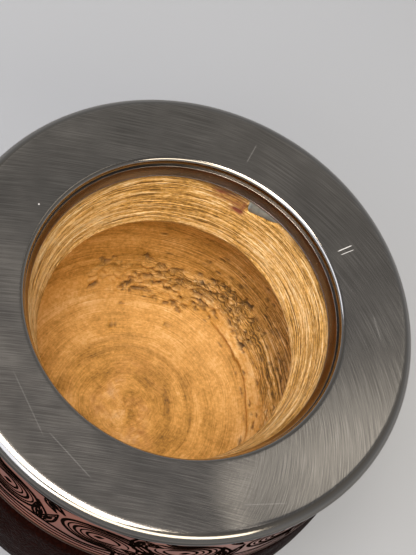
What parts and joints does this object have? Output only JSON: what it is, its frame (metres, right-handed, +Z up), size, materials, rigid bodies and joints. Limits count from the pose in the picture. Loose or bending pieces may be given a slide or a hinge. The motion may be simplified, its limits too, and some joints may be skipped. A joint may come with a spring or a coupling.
{
  "type": "mate cup",
  "caption": "Drinking cup: turned gourd with overhung throat, wide flat steel rim, engraved steel band, sewn leather body and round leather foot.",
  "frame": {"origin": "centre of the flat underside of the leather sole, on the surface that the cup stands on", "axes": "+Z up along the cup's axis; X runs through the two side seams; -Y is the front hide"},
  "size_m": [0.0888, 0.0868, 0.079],
  "materials": {
    "gourd": "turned, dry and porous",
    "rim_steel": "brushed in long arcs",
    "polished_steel": "polished stainless steel",
    "engraved_steel": "satin, warm, with blackened engraving",
    "engraving_lacquer": "black lacquer",
    "bedding_resin": "set grey epoxy resin putty",
    "hide": "waxed, fine grain",
    "sole_leather": "burnished vegetable-tanned",
    "cork": "pressed cork",
    "waxed_thread": "waxed linen"
  },
  "bodies": {
    "root": {"gourd_cup": "gourd", "rim_plate": "rim_steel", "inner_collar": "polished_steel", "engraved_band": "engraved_steel", "band_edge_wire": "engraved_steel", "bedding_ring": "bedding_resin", "leather_panel_front": "hide", "leather_panel_back": "hide", "seam_thread_left": "waxed_thread", "seam_thread_right": "waxed_thread", "foot_ring": "sole_leather", "foot_pad": "cork", "base_disc": "sole_leather", "foot_thread": "waxed_thread"}
  },
  "joints": []
}
